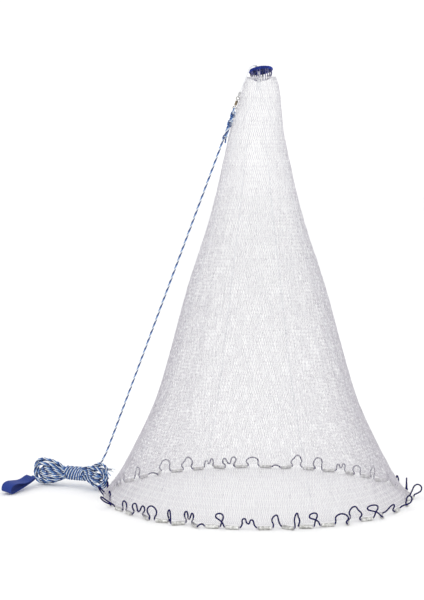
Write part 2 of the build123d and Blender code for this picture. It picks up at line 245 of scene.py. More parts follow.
def add_node(material, kind, **inputs):
    node = material.node_tree.nodes.new(kind)
    for key, value in inputs.items():
        node.inputs[key.replace("_", " ")].default_value = value
    return node


def link(material, output, target):
    material.node_tree.links.new(output, target)


def object_coords(material, scale=(1, 1, 1)):
    coords = add_node(material, "ShaderNodeTexCoord")
    mapping = add_node(material, "ShaderNodeMapping")
    mapping.inputs["Scale"].default_value = scale
    link(material, coords.outputs["Object"], mapping.inputs["Vector"])
    return mapping.outputs["Vector"]


def mottled(material, shader, dark, light, scale, detail=6.0):
    """Colour that drifts between two shades with a noise."""
    noise = add_node(material, "ShaderNodeTexNoise", Scale=scale, Detail=detail)
    link(material, object_coords(material), noise.inputs["Vector"])
    ramp = add_node(material, "ShaderNodeValToRGB")
    ramp.color_ramp.elements[0].position = MOTTLE_LOW
    ramp.color_ramp.elements[0].color = (*dark, 1.0)
    ramp.color_ramp.elements[1].position = MOTTLE_HIGH
    ramp.color_ramp.elements[1].color = (*light, 1.0)
    link(material, noise.outputs["Fac"], ramp.inputs["Fac"])
    link(material, ramp.outputs["Color"], shader.inputs["Base Color"])


def bumped(material, shader, height, strength, distance):
    bump = add_node(material, "ShaderNodeBump", Strength=strength, Distance=distance)
    link(material, height, bump.inputs["Height"])
    link(material, bump.outputs["Normal"], shader.inputs["Normal"])


def fibre_material(name, dark, light, roughness=0.75, scale=900.0, sheen=0.25):
    """Spun or laid fibre: fine streaked colour, fuzz and a soft sheen."""
    material, shader = new_material(name, light, roughness)
    mottled(material, shader, dark, light, scale, 8.0)
    fine = add_node(material, "ShaderNodeTexNoise", Scale=scale * 4, Detail=4.0)
    link(material, object_coords(material), fine.inputs["Vector"])
    bumped(material, shader, fine.outputs["Fac"], 0.45, 0.0004)
    shader.inputs["Specular IOR Level"].default_value = 0.15
    shader.inputs["Sheen Weight"].default_value = sheen
    shader.inputs["Sheen Roughness"].default_value = 0.5
    return material


def metal_material(name, dark, light, roughness):
    """Dull metal: tarnish clouds, small dents and scratches that change the roughness."""
    material, shader = new_material(name, light, roughness, 1.0)
    mottled(material, shader, dark, light, TARNISH_SCALE, 8.0)
    fine = add_node(material, "ShaderNodeTexNoise", Scale=SCRATCH_SCALE, Detail=10.0)
    link(material, object_coords(material, (1, 1, 3)), fine.inputs["Vector"])
    spread = add_node(material, "ShaderNodeMapRange")
    spread.inputs["To Min"].default_value = roughness - 0.1
    spread.inputs["To Max"].default_value = roughness + 0.18
    link(material, fine.outputs["Fac"], spread.inputs["Value"])
    link(material, spread.outputs["Result"], shader.inputs["Roughness"])
    bumped(material, shader, fine.outputs["Fac"], 0.3, 0.0006)
    return material


def plain_material(name, color, roughness):
    """Thin nylon filament: even colour, gloss set on the shader's own sockets."""
    material, shader = new_material(name, color, roughness)
    shader.inputs["Specular IOR Level"].default_value = 0.6
    shader.inputs["Coat Weight"].default_value = 0.2
    return material


# ---------------------------------------------------------------- mesh helpers
def make_mesh(name, verts, faces, materials, face_slots=None, smooth=True):
    mesh = bpy.data.meshes.new(name)
    mesh.from_pydata([tuple(v) for v in verts], [], [tuple(f) for f in faces])
    for material in materials:
        mesh.materials.append(material)
    if face_slots is not None:
        mesh.polygons.foreach_set("material_index", face_slots)
    mesh.polygons.foreach_set("use_smooth", [smooth] * len(mesh.polygons))
    mesh.update()
    obj = bpy.data.objects.new(name, mesh)
    bpy.context.scene.collection.objects.link(obj)
    return obj


def smooth_line(points, closed=False, resolution=10):
    """Points along the NURBS spline whose control points are given."""
    curve = bpy.data.curves.new("route", "CURVE")
    curve.dimensions = "3D"
    spline = curve.splines.new("NURBS")
    spline.points.add(len(points) - 1)
    for target, point in zip(spline.points, points):
        target.co = (*point, 1.0)
    spline.order_u = 3
    spline.use_endpoint_u = not closed
    spline.use_cyclic_u = closed
    spline.resolution_u = resolution
    holder = bpy.data.objects.new("route", curve)
    bpy.context.scene.collection.objects.link(holder)
    graph = bpy.context.evaluated_depsgraph_get()
    mesh = bpy.data.meshes.new_from_object(holder.evaluated_get(graph))
    line = np.array([tuple(v.co) for v in mesh.vertices])
    bpy.data.objects.remove(holder)
    bpy.data.meshes.remove(mesh)
    return line


def line_length(line, closed=False):
    steps = np.diff(np.vstack([line, line[:1]]) if closed else line, axis=0)
    return float(np.linalg.norm(steps, axis=1).sum())


def even_line(line, step, closed=False):
    """The same line with points about one step apart."""
    if closed:
        line = np.vstack([line, line[:1]])
    along = np.concatenate([[0.0], np.cumsum(np.linalg.norm(np.diff(line, axis=0), axis=1))])
    count = max(3, int(round(along[-1] / step)))
    where = np.linspace(0.0, along[-1], count + 1)
    if closed:
        where = where[:-1]
    return np.stack([np.interp(where, along, line[:, axis]) for axis in range(3)], axis=1)


def moving_frames(line, closed=False):
    """Two unit vectors across the line at each point, carried along without twist."""
    if closed:
        ways = np.roll(line, -1, axis=0) - np.roll(line, 1, axis=0)
    else:
        ways = np.gradient(line, axis=0)
    ways /= np.linalg.norm(ways, axis=1)[:, None] + 1e-12
    guess = np.array([0.0, 0.0, 1.0])
    if abs(ways[0] @ guess) > 0.9:
        guess = np.array([1.0, 0.0, 0.0])
    first = np.cross(ways[0], guess)
    first /= np.linalg.norm(first)
    sides = [first]
    for way in ways[1:]:
        side = sides[-1] - way * (sides[-1] @ way)
        sides.append(side / (np.linalg.norm(side) + 1e-12))
    sides = np.array(sides)
    ups = np.cross(ways, sides)
    if closed:
        lost = math.atan2(sides[-1] @ ups[0], sides[-1] @ sides[0])
        turn = -np.linspace(0.0, 1.0, len(line)) * lost
        cosine = np.cos(turn)[:, None]
        sine = np.sin(turn)[:, None]
        sides, ups = sides * cosine + ups * sine, ups * cosine - sides * sine
    return ways, sides, ups


class Bundle:
    """Gathers round strands into one mesh."""

    def __init__(self):
        self.verts = []
        self.faces = []
        self.slots = []
        self.count = 0

    def strand(self, line, radius, sides=6, closed=False, slot=0):
        line = np.asarray(line, float)
        radii = np.broadcast_to(np.asarray(radius, float), (len(line),))
        _, across, up = moving_frames(line, closed)
        angles = np.arange(sides) * 2 * math.pi / sides
        ring = np.cos(angles)[None, :, None] * across[:, None, :]
        ring = ring + np.sin(angles)[None, :, None] * up[:, None, :]
        rings = line[:, None, :] + ring * radii[:, None, None]
        start = self.count
        self.verts.append(rings.reshape(-1, 3))
        total = len(line)
        spans = total if closed else total - 1
        for i in range(spans):
            here = start + i * sides
            there = start + ((i + 1) % total) * sides
            for j in range(sides):
                k = (j + 1) % sides
                self.faces.append((here + j, here + k, there + k, there + j))
        self.slots += [slot] * (spans * sides)
        if not closed:
            self.faces.append(tuple(start + j for j in reversed(range(sides))))
            self.faces.append(tuple(start + (total - 1) * sides + j for j in range(sides)))
            self.slots += [slot, slot]
        self.count += total * sides

    def laid(self, line, diameter, pitch, slots, sides=6, closed=False, fullness=1.03):
        """Rope of twisted strands that follows a line."""
        strands = len(slots)
        strand_radius = diameter / 2 / (1 + 1 / math.sin(math.pi / strands))
        helix_radius = diameter / 2 - strand_radius
        _, across, up = moving_frames(line, closed)
        length = line_length(line, closed)
        turns = length / pitch
        if closed:
            turns = round(turns)
        turn = np.linspace(0, 2 * math.pi * turns, len(line), endpoint=not closed)
        for number, slot in enumerate(slots):
            angle = turn + 2 * math.pi * number / strands
            centre = line + helix_radius * (
                np.cos(angle)[:, None] * across + np.sin(angle)[:, None] * up
            )
            self.strand(centre, strand_radius * fullness, sides, closed, slot)

    def build(self, name, materials):
        obj = make_mesh(name, np.vstack(self.verts), self.faces, materials, self.slots)
        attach(obj, "net")
        return obj


# ---------------------------------------------------------------- camera
def make_camera():
    data = bpy.data.cameras.new("camera")
    data.lens = CAMERA_LENS
    data.sensor_width = 36.0
    data.clip_start = 0.1
    camera = bpy.data.objects.new("camera", data)
    camera.location = (NET_AXIS_X, -CAMERA_DISTANCE, GROUND + CAMERA_HEIGHT)
    camera.rotation_euler = (math.radians(90 + CAMERA_PITCH), 0, math.radians(CAMERA_YAW))
    bpy.context.scene.collection.objects.link(camera)
    bpy.context.scene.camera = camera


# ---------------------------------------------------------------- hand line
def swivel_up():
    return (SWIVEL_CENTRE - SWIVEL_FOOT).normalized()


def hank_point(s, right, rise):
    """A point of the hank: s along its bent middle line, then towards the front and up, in mm."""
    tip, bend, toe = HANK_LINE
    first = (bend - tip).normalized()
    second = (toe - bend).normalized()
    distance = s * MM
    corner = (bend - tip).length
    share = min(1.0, max(0.0, (distance - corner) / BEND_LENGTH + 0.5))
    share = share * share * (3 - 2 * share)
    way = (first * (1 - share) + second * share).normalized()
    if distance <= corner:
        middle = tip + first * distance
    else:
        middle = bend + second * (distance - corner)
    front = Vector((way.y, -way.x, 0.0)).normalized()
    up = front.cross(way)
    if up.z < 0:
        up = -up
    return tuple(middle + front * (right * MM) + up * (rise * MM))


HANK_LAYERS = 6
HANK_TURNS = 2 * HANK_LAYERS
# Turn of each layer's plane about the hank's middle line, in degrees.
HANK_LAYER_ANGLES = [90.0, 112.0, 60.0, 23.0, 319.0, 352.0]
HANK_LEFT_HALF_WIDTHS = [33.0, 29.5, 25.5, 23.0, 24.0, 24.0]
HANK_RIGHT_HALF_WIDTHS = [34.0, 30.5, 26.0, 23.0, 24.0, 24.0]
HANK_LEFT_TIPS = [0.5, 5.0, 9.5, 24.0, 19.0, 14.5]
HANK_RIGHT_TIPS = [240.0, 235.5, 231.0, 216.5, 221.5, 226.0]
TIP_JITTER = 1.5
# A lobe's control points: distance from its tip and from the middle line, as shares of its half-width.
LEFT_FOLD = (0.0, 0.42)
LEFT_SIDE = [(0.28, 0.97), (1.0, 1.0), (1.9, 0.82)]
RIGHT_FOLD = (0.0, 0.45)
RIGHT_SIDE = [(0.38, 0.93), (0.9, 1.0), (1.4, 0.86)]
HANK_WAIST = (92.0, 147.0)
WAIST_STATIONS = (89.0, 110.0, 129.0, 150.0)
WAIST_GRID_SHIFT = 0.25
HANK_BUNDLE_R = 14.0
TURN_GAP = 0.6
BEND_LENGTH = 0.050
POINTS_PER_TURN = 12
TURN_STEP = 360 / POINTS_PER_TURN
WRAP_STEPS = 11 * POINTS_PER_TURN + 1
WRAP_LENGTH = 54.0
WRAP_RADIUS = 17.2
# Stations of the line along the hank: distance, towards the front, up.
RUN_TO_HANK = [(189, 2, 25), (168, 0, 19)]
HANK_TO_WRAP = [(158, -16, 4), (162, -15, 12), (160, -7, 19.5), (155, 3, 21), (150, 11, 16.5)]
WRAP_TO_STRAP = [(84, 18, -10), (70, 21, -17), (50, 22, -22), (36, 21, -21), (25, 21, -18), (18, 24, -17)]
STRAP_REACHES = (0.009, 0.018, 0.027, 0.036)
ROPE_STEP = 0.0024
SMALL_ROPE_STEP = 0.0022
# Second leg of the swivel's eye: distance down, to the side, to the front.
EYE_LEG = [
    (13.8, 0, 0), (15, 0, 3.2), (22, 2, 3.4), (34, 3.5, 2), (48, 4.3, -1), (60, 4.6, 1),
    (74, 4.4, -1), (90, 4.6, 1), (101, 5.6, 1), (108, 8.2, 0),
]
LEG_SHARE = 0.86
# Start below the swivel, turns and radius of each knot round both legs.
TOP_KNOTS = [(25, 2.6, 5.0), (48, 3.2, 4.9), (90, 1.6, 4.7)]
KNOT_CENTRE = 2.0
KNOT_PITCH = 4.6
KNOT_LEAN = 1.6
KNOT_SHARE = 0.8
TAIL_ROOT = (222, -6, 16)
TAIL_SAG = 4
TAIL_STEP = 0.002
TAIL_RADII = (0.0016, 0.0010)
# Tilt and radius of each ring of the knot at the strap.
STRAP_RINGS = [(0.3, 5.2), (1.3, 5.4), (2.3, 5.0)]
STRAP_RING_POINTS = 24
STRAP_RING_WAVE = 1.2
STRAP_RING_ROPE = 0.0044
STRAP_RING_PITCH = 0.02
TAIL_ENDS = [(22, -10, 2), (27, -6, -5), (19, -14, -13), (14, -12, -22), (31, -8, 3), (9, -13, -27)]


def waist_places(count, pitch):
    """Hexagonal packing, the places nearest the middle first."""
    places = []
    for row in range(-4, 5):
        for column in range(-4, 5):
            x = (column + 0.5 * (row % 2)) * pitch
            y = row * pitch * math.sqrt(3) / 2
            places.append((x + pitch * WAIST_GRID_SHIFT, y))
    places.sort(key=lambda p: math.hypot(*p))
    return places[:count]


def hank_route():
    """Turns of the hank: passes through the waist joined by folds in the two lobes."""
    free = waist_places(2 * HANK_TURNS, ROPE_DIAMETER / MM)
    passes = []
    for turn in range(HANK_TURNS):
        layer = turn // 2
        angle = math.radians(HANK_LAYER_ANGLES[layer])
        side_shift = (turn % 2 - 0.5) * (ROPE_DIAMETER / MM + TURN_GAP)
        for sign in (1, -1):
            way = (sign * math.cos(angle), sign * math.sin(angle))
            normal = (-math.sin(angle), math.cos(angle))
            share = HANK_LEFT_HALF_WIDTHS[layer] / HANK_LEFT_HALF_WIDTHS[0]
            want = (
                way[0] * HANK_BUNDLE_R * share + normal[0] * side_shift,
                way[1] * HANK_BUNDLE_R * share + normal[1] * side_shift,
            )
            place = min(free, key=lambda p: math.hypot(p[0] - want[0], p[1] - want[1]))
            free.remove(place)
            passes.append({
                "layer": layer, "way": way, "normal": normal, "shift": side_shift, "place": place,
            })
    points = []

    def lobe(item, tip, inward, half_width, shape):
        """Control points of one side of a lobe; inward is 1 for the left lobe and -1 for the right one."""
        for along, across in shape:
            reach = half_width * across
            x = item["way"][0] * reach + item["normal"][0] * item["shift"]
            y = item["way"][1] * reach + item["normal"][1] * item["shift"]
            points.append(hank_point(tip + inward * along * half_width, x, y))

    def waist(item, stations):
        for s in stations:
            points.append(hank_point(s, *item["place"]))

    for turn in range(HANK_TURNS):
        up_pass = passes[2 * turn]
        down_pass = passes[2 * turn + 1]
        layer = up_pass["layer"]
        left = HANK_LEFT_HALF_WIDTHS[layer]
        right = HANK_RIGHT_HALF_WIDTHS[layer]
        left_tip = HANK_LEFT_TIPS[layer] + random.uniform(-TIP_JITTER, TIP_JITTER)
        right_tip = HANK_RIGHT_TIPS[layer] + random.uniform(-TIP_JITTER, TIP_JITTER)
        if turn:
            lobe(up_pass, right_tip, -1, right, RIGHT_SIDE)
        waist(up_pass, reversed(WAIST_STATIONS))
        lobe(up_pass, left_tip, 1, left, [*reversed(LEFT_SIDE), LEFT_FOLD])
        lobe(down_pass, left_tip, 1, left, [LEFT_FOLD, *LEFT_SIDE])
        waist(down_pass, WAIST_STATIONS)
        if turn < HANK_TURNS - 1:
            lobe(down_pass, right_tip, -1, right, [*reversed(RIGHT_SIDE), RIGHT_FOLD])
            lobe(passes[2 * turn + 2], right_tip, -1, right, [RIGHT_FOLD])
    return points


def wrap_route():
    """Turns round the hank's waist, from its right end to its left end."""
    points = []
    for step in range(WRAP_STEPS + 1):
        angle = math.radians(TURN_STEP - TURN_STEP * step)
        s = HANK_WAIST[1] - step / WRAP_STEPS * WRAP_LENGTH
        points.append(hank_point(s, WRAP_RADIUS * math.cos(angle), WRAP_RADIUS * math.sin(angle)))
    return points


def hand_line_route():
    up = swivel_up()
    eye = SWIVEL_CENTRE - up * EYE_CROWN
    route = [tuple(eye), tuple(SWIVEL_CENTRE - up * 0.030), tuple(SWIVEL_CENTRE - up * 0.080)]
    knot, bend, entry = [Vector((x, y, GROUND + z)) for x, y, z in ROPE_RUN]
    run = (bend - knot).normalized()
    route += [tuple(knot), tuple(knot + run * 0.060), tuple(bend - run * 0.040), tuple(bend)]
    route.append(tuple(entry))
    route += [hank_point(*station) for station in RUN_TO_HANK]
    route += hank_route()
    route += [hank_point(*station) for station in HANK_TO_WRAP]
    route += wrap_route()
    route += [hank_point(*station) for station in WRAP_TO_STRAP]
    route.append(tuple(STRAP_KNOT))
    into = STRAP_LENGTHWAYS.normalized()
    route += [tuple(STRAP_KNOT - into * reach) for reach in STRAP_REACHES]
    return route


def make_hand_line(slots):
    line = smooth_line(hand_line_route(), resolution=8)
    bundle = Bundle()
    bundle.laid(even_line(line, ROPE_STEP), ROPE_DIAMETER, ROPE_PITCH, (0, 1, 2))
    rope = bundle.build("hand_line", slots)
    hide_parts("hand_line_run", "hand_line_hank")
    return rope, line


def make_rope_top(slots):
    """Eye through the swivel, knots and the doubled stretch below them."""
    up = np.array(swivel_up())
    centre = np.array(SWIVEL_CENTRE)
    side = np.cross(up, (0, -1, 0))
    side /= np.linalg.norm(side)
    front = np.cross(side, up)
    bundle = Bundle()

    def place(down, right, near):
        return centre - up * down + side * right + front * near

    # Second leg of the eye and its tail beside the main line.
    leg = even_line(smooth_line([place(d * MM, x * MM, y * MM) for d, x, y in EYE_LEG]), SMALL_ROPE_STEP)
    bundle.laid(leg, ROPE_DIAMETER * LEG_SHARE, ROPE_PITCH, (0, 1, 2))
    # Knots: a few turns wound round both legs.
    for start, turns, radius in TOP_KNOTS:
        coil = []
        for step in range(int(turns * POINTS_PER_TURN) + 1):
            angle = math.radians(TURN_STEP * step)
            lean = KNOT_LEAN * math.sin(angle)
            down = start + step / POINTS_PER_TURN * KNOT_PITCH + lean
            coil.append(place(
                down * MM, (KNOT_CENTRE + radius * math.cos(angle)) * MM, radius * math.sin(angle) * MM
            ))
        coil = even_line(smooth_line(coil), SMALL_ROPE_STEP)
        bundle.laid(coil, ROPE_DIAMETER * KNOT_SHARE, ROPE_PITCH, (0, 1, 2))
    knot = bundle.build("hand_line_top_knots", slots)
    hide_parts("hand_line_knot")
    return knot


def make_tails(slots):
    """Frayed strands of the line's cut end, which stick out of the right lobe."""
    root = Vector(hank_point(*TAIL_ROOT))
    bundle = Bundle()
    for number, (x, y, z) in enumerate(TAIL_ENDS):
        tip = root + Vector((x, y, z)) * MM
        middle = (root + tip) / 2 + Vector((0, 0, TAIL_SAG * MM))
        line = even_line(smooth_line([tuple(root), tuple(middle), tuple(tip)]), TAIL_STEP)
        taper = np.linspace(*TAIL_RADII, len(line))
        bundle.strand(line, taper, 6, slot=number % 3)
    tails = bundle.build("hand_line_tails", slots)
    return tails


def make_strap_knot(slots):
    """Small round knot that ties the hand line to the strap."""
    bundle = Bundle()
    centre = np.array(STRAP_KNOT)
    for number, (tilt, radius) in enumerate(STRAP_RINGS):
        turn = Matrix.Rotation(tilt + number, 3, "Y") @ Matrix.Rotation(tilt, 3, "X")
        ring = []
        for step in range(STRAP_RING_POINTS):
            angle = 2 * math.pi * step / STRAP_RING_POINTS
            flat = Vector((
                radius * math.cos(angle), radius * math.sin(angle), STRAP_RING_WAVE * math.sin(2 * angle)
            ))
            ring.append(centre + np.array(turn @ flat) * MM)
        ring = even_line(smooth_line(ring, True), SMALL_ROPE_STEP, True)
        bundle.laid(ring, STRAP_RING_ROPE, STRAP_RING_PITCH, (0, 1, 2), closed=True)
    knot = bundle.build("strap_knot_turns", slots)
    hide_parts("strap_knot")
    return knot


# ---------------------------------------------------------------- wrist strap
STRAP_RESOLUTION = 14
STRAP_STEP = 0.0015
# Cross-section of the webbing: rounded selvedges a little thicker than the middle.
FACE_POINTS = 17
FACE_SHARE = 0.96
SELVEDGE_SHARE = 0.88
MIDDLE_THINNING = 0.82
EDGE_THINNING = 0.45
# Corners of the box stitching, lengthways and across, in mm.
STITCH_BOX = [(20, -11), (38, -11), (38, 11), (20, 11), (20, -11), (38, 11), (20, 11), (38, -11)]
STITCH_LENGTH = 2.6
STITCH_SPAN = (0.08, 0.8)
STITCH_RISE = 0.0003
STITCH_RADIUS = 0.00028


def strap_axes():
    along = STRAP_LENGTHWAYS.normalized()
    across = (STRAP_ACROSS - along * STRAP_ACROSS.dot(along)).normalized()
    return np.array(along), np.array(across), np.array(across.cross(along))


def make_strap(webbing, thread):
    along, across, up = strap_axes()
    centre = np.array(STRAP_CENTRE)
    loop = smooth_line([(x * MM, y * MM, 0.0) for x, y in STRAP_LOOP], True, STRAP_RESOLUTION)
    loop = even_line(loop, STRAP_STEP, True)
    ways = np.roll(loop, -1, axis=0) - np.roll(loop, 1, axis=0)
    ways /= np.linalg.norm(ways, axis=1)[:, None]
    normals = np.stack([-ways[:, 1], ways[:, 0]], axis=1)
    half = STRAP_WIDTH / 2
    thick = STRAP_THICKNESS / 2
    section = []
    for share in np.linspace(-FACE_SHARE, FACE_SHARE, FACE_POINTS):
        section.append((share * half, thick * (MIDDLE_THINNING if abs(share) < SELVEDGE_SHARE else 1.0)))
    section.append((half, EDGE_THINNING * thick))
    section.append((half, -EDGE_THINNING * thick))
    section += [(w, -t) for w, t in reversed(section[:FACE_POINTS])]
    section.append((-half, -EDGE_THINNING * thick))
    section.append((-half, EDGE_THINNING * thick))
    verts = []
    for point, normal in zip(loop, normals):
        for width, height in section:
            x = point[0] + normal[0] * height
            y = point[1] + normal[1] * height
            verts.append(centre + along * x + up * y + across * width)
    count = len(section)
    total = len(loop)
    faces = []
    for i in range(total):
        for j in range(count):
            k = (j + 1) % count
            m = (i + 1) % total
            faces.append((i * count + j, m * count + j, m * count + k, i * count + k))
    strap = make_mesh("wrist_strap_webbing", verts, faces, [webbing])
    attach(strap, "net")
    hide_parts("wrist_strap")

    # Box stitching across the overlap at the end that the rope holds.
    bundle = Bundle()

    def on_strap(x, width):
        nearest = int(np.argmin(np.abs(loop[:, 0] - x) + (loop[:, 1] < 2 * MM) * 1.0))
        y = loop[nearest, 1] + thick * 1.05
        return centre + along * x + up * y + across * width

    for (x0, w0), (x1, w1) in zip(STITCH_BOX, STITCH_BOX[1:]):
        stitches = max(2, int(math.hypot(x1 - x0, w1 - w0) / STITCH_LENGTH))
        for number in range(stitches):
            ends = []
            for end in STITCH_SPAN:
                share = (number + end) / stitches
                ends.append(on_strap((x0 + (x1 - x0) * share) * MM, (w0 + (w1 - w0) * share) * MM))
            middle = (ends[0] + ends[1]) / 2 + up * STITCH_RISE
            bundle.strand([ends[0], middle, ends[1]], STITCH_RADIUS, 5)
    stitching = bundle.build("strap_stitching", [thread])
    return strap, stitching


# ---------------------------------------------------------------- lead line
def sinker_places():
    places = []
    for joint in frame["joints"]:
        if joint["name"].startswith("sinker_"):
            places.append((joint["name"], Vector(joint["pos_m"]), Vector(joint["axis"])))
    places.sort(key=lambda p: p[0])
    return [(centre, way) for _, centre, way in places]


def lead_line_route():
    places = sinker_places()
    half = SINKER_LENGTH / 2
    route = []
    for number, (start, start_way) in enumerate(places):
        end, end_way = places[(number + 1) % len(places)]
        gap_start = start + start_way * half
        gap_end = end - end_way * half
        chord = gap_end - gap_start
        width = min(chord.length, LOOP_WIDTH_MAX)
        margin = (chord.length - width) / 2
        along = chord.normalized()
        outward = along.cross(Vector((0, 0, 1)))
        route += [start, gap_start - start_way * BORE_REACH, gap_start + start_way * LINE_EXIT]
        for share, rise, offset in LOOP_SHAPES[LOOPS[number]]:
            reach = margin + share * width
            route.append(
                gap_start + along * reach + Vector((0, 0, rise * MM)) + outward * (offset * MM)
            )
        route += [gap_end - end_way * LINE_EXIT, gap_end + end_way * BORE_REACH]
    return [tuple(p) for p in route]


def make_lead_line(cord_materials):
    line = smooth_line(lead_line_route(), True, 5)
    line = even_line(line, LEAD_LINE_STEP, True)
    bundle = Bundle()
    bundle.laid(line, LEAD_LINE_DIAMETER, LEAD_LINE_PITCH, (0, 1, 0), 5, True, LEAD_LINE_FULLNESS)
    cord = bundle.build("lead_line_cord", cord_materials)
    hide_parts("lead_line")


# ---------------------------------------------------------------- netting
def make_hem_ties(material):
    """Twine that seizes the netting's hem to the lead line at each end of each sinker."""
    bundle = Bundle()
    for centre, way in sinker_places():
        for side in (-1, 1):
            for turn in range(2):
                start = centre + way * (side * (SINKER_LENGTH / 2 + TIE_START + TIE_SPACING * turn))
                ring = []
                for step in range(TIE_POINTS):
                    angle = 2 * math.pi * step / TIE_POINTS
                    across = way.cross(Vector((0, 0, 1)))
                    point = start + across * (TIE_RADIUS * math.cos(angle))
                    ring.append(np.array(point + Vector((0, 0, TIE_RADIUS * math.sin(angle)))))
                bundle.strand(ring, TIE_TWINE, 5, True)
            start = centre + way * (side * (SINKER_LENGTH / 2 + TIE_HEM_START))
            outward = Vector((centre.x - NET_AXIS_X, centre.y, 0)).normalized()
            hem = start - outward * TIE_HEM_REACH
            hem.z = GROUND + HEM_HEIGHT
            bundle.strand([np.array(start + Vector((0, 0, TIE_RADIUS))), np.array(hem)], TIE_TWINE, 5)
    ties = bundle.build("hem_ties", [material])


def net_profile():
    """Radius and height along the slant, smoothed through the profile's points."""
    points = np.array(NET_PROFILE)
    dense = []
    padded = np.vstack([2 * points[0] - points[1], points, 2 * points[-1] - points[-2]])
    for i in range(1, len(padded) - 2):
        p0, p1, p2, p3 = padded[i - 1:i + 3]
        for t in np.linspace(0, 1, 24, endpoint=False):
            dense.append(0.5 * (
                2 * p1 + (p2 - p0) * t + (2 * p0 - 5 * p1 + 4 * p2 - p3) * t**2
                + (3 * p1 - p0 - 3 * p2 + p3) * t**3
            ))
    dense.append(points[-1])
    return np.array(dense)


def net_pleats(bearing, share):
    """Outward ripple of the hanging netting, deeper towards the skirt."""
    wave = 0.0
    for count, part, start, drift in PLEATS:
        wave += part * math.sin(count * bearing + start + drift * share)
    return PLEAT_DEPTH * share**PLEAT_POWER * wave


def smoothstep(value, low, high):
    share = min(1.0, max(0.0, (value - low) / (high - low)))
    return share * share * (3 - 2 * share)


def crown_turn():
    lean = Matrix.Rotation(math.radians(HORN_LEAN), 3, "Y")
    return Matrix.Rotation(math.radians(HORN_TILT), 3, "X") @ lean


def make_netting(materials):
    """Diamond netting: rows of knots, each tied to the two nearest knots of the row above."""
    profile = net_profile()
    slant = np.concatenate([[0.0], np.cumsum(np.linalg.norm(np.diff(profile, axis=0), axis=1))])
    rng = np.random.default_rng(11)
    turn = crown_turn()
    rows = []
    for row in range(MESH_ROWS + 1):
        share = row / MESH_ROWS
        where = share * slant[-1]
        radius = float(np.interp(where, slant, profile[:, 0]))
        height = float(np.interp(where, slant, profile[:, 1]))
        band = (row // ROWS_PER_BAND + 0.5) * ROWS_PER_BAND / MESH_ROWS * slant[-1]
        mesh = MESH_WIDTH_AT_TOP + (MESH_WIDTH - MESH_WIDTH_AT_TOP) * smoothstep(share, 0.0, 0.5)
        count = round(2 * math.pi * float(np.interp(band, slant, profile[:, 0])) / mesh)
        pull = max(0.0, (row - (MESH_ROWS - HEM_ROWS)) / HEM_ROWS) ** HEM_POWER
        lean = CROWN_LEAN * smoothstep(height, *LEAN_HEIGHTS)
        knots = []
        for number in range(count):
            bearing = 2 * math.pi * (number + 0.5 * (row % 2)) / count
            ring = radius + net_pleats(bearing, share)
            ring += (HEM_RADIUS - ring) * pull
            level = height + (HEM_HEIGHT - height) * pull
            point = np.array([
                NET_AXIS_X + lean + ring * math.cos(bearing), ring * math.sin(bearing), GROUND + level
            ])
            knots.append(point + rng.normal(0.0, KNOT_SCATTER, 3))
        rows.append((knots, 0.5 * (row % 2)))
    # The netting hangs from the feet of the lashing, where it is gathered.
    count = len(rows[0][0])
    radius, height = LASHING_FOOT
    crown = []
    for number in range(count):
        bearing = 2 * math.pi * (number + 0.5) / count
        foot = Vector((radius * math.cos(bearing), radius * math.sin(bearing), height))
        crown.append(np.array(turn @ foot))
    rows.insert(0, (crown, 0.5))
    panels = [{"legs": [], "slots": [], "knots": []} for _ in range(PANEL_COUNT)]
    sector = 2 * math.pi / PANEL_COUNT

    def panel_of(point):
        bearing = math.atan2(point[1], point[0] - NET_AXIS_X) - math.radians(FIRST_PANEL_BEARING)
        return panels[int(bearing % (2 * math.pi) / sector) % PANEL_COUNT]

    for row in range(1, len(rows)):
        grey_share = GREY_SHARE_AT_HEM * row / len(rows)
        above, above_shift = rows[row - 1]
        below, below_shift = rows[row]
        for number, knot in enumerate(below):
            place = (number + below_shift) / len(below) * len(above) - above_shift
            left = math.floor(place)
            panel = panel_of(knot)
            for partner in (left, left + 1):
                panel["legs"].append((above[partner % len(above)], knot))
                panel["slots"].append(int(rng.random() < grey_share))
            panel["knots"].append(knot)
    for number, panel in enumerate(panels):
        build_net_panel(number + 1, panel, materials)


def build_net_panel(number, panel, materials):
    """Three-sided strands for the legs of the meshes and a small hard knot where they meet."""
    legs = panel["legs"]
    starts = np.array([leg[0] for leg in legs])
    ends = np.array([leg[1] for leg in legs])
    ways = ends - starts
    ways /= np.linalg.norm(ways, axis=1)[:, None]
    across = np.cross(ways, (0.31, 0.17, 0.93))
    across /= np.linalg.norm(across, axis=1)[:, None]
    up = np.cross(ways, across)
    rings = []
    for j in range(3):
        angle = 2 * math.pi * j / 3
        shift = (math.cos(angle) * across + math.sin(angle) * up) * TWINE_RADIUS
        rings.append(starts + shift)
        rings.append(ends + shift)
    verts = np.stack(rings, axis=1).reshape(-1, 3)
    base = np.arange(len(legs))[:, None] * 6
    faces = []
    for j in range(3):
        k = (j + 1) % 3
        faces.append(base + np.array([[2 * j, 2 * k, 2 * k + 1, 2 * j + 1]]))
    faces = np.stack(faces, axis=1).reshape(-1, 4)
    slots = np.repeat(panel["slots"], 3)
    points = np.array(panel["knots"])
    arms = np.array(KNOT_ARMS) * KNOT_RADIUS
    knot_verts = (points[:, None, :] + arms[None, :, :]).reshape(-1, 3)
    corners = np.arange(len(points))[:, None, None] * len(KNOT_ARMS)
    knot_faces = (corners + np.array(KNOT_SIDES)[None, :, :]).reshape(-1, 3)
    all_verts = np.vstack([verts, knot_verts])
    all_faces = faces.tolist() + (knot_faces + len(verts)).tolist()
    all_slots = slots.tolist() + [2] * len(knot_faces)
    obj = make_mesh(f"netting_{number}", all_verts, all_faces, materials, all_slots)
    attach(obj, "net")
    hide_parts("net_upper", "net_skirt")


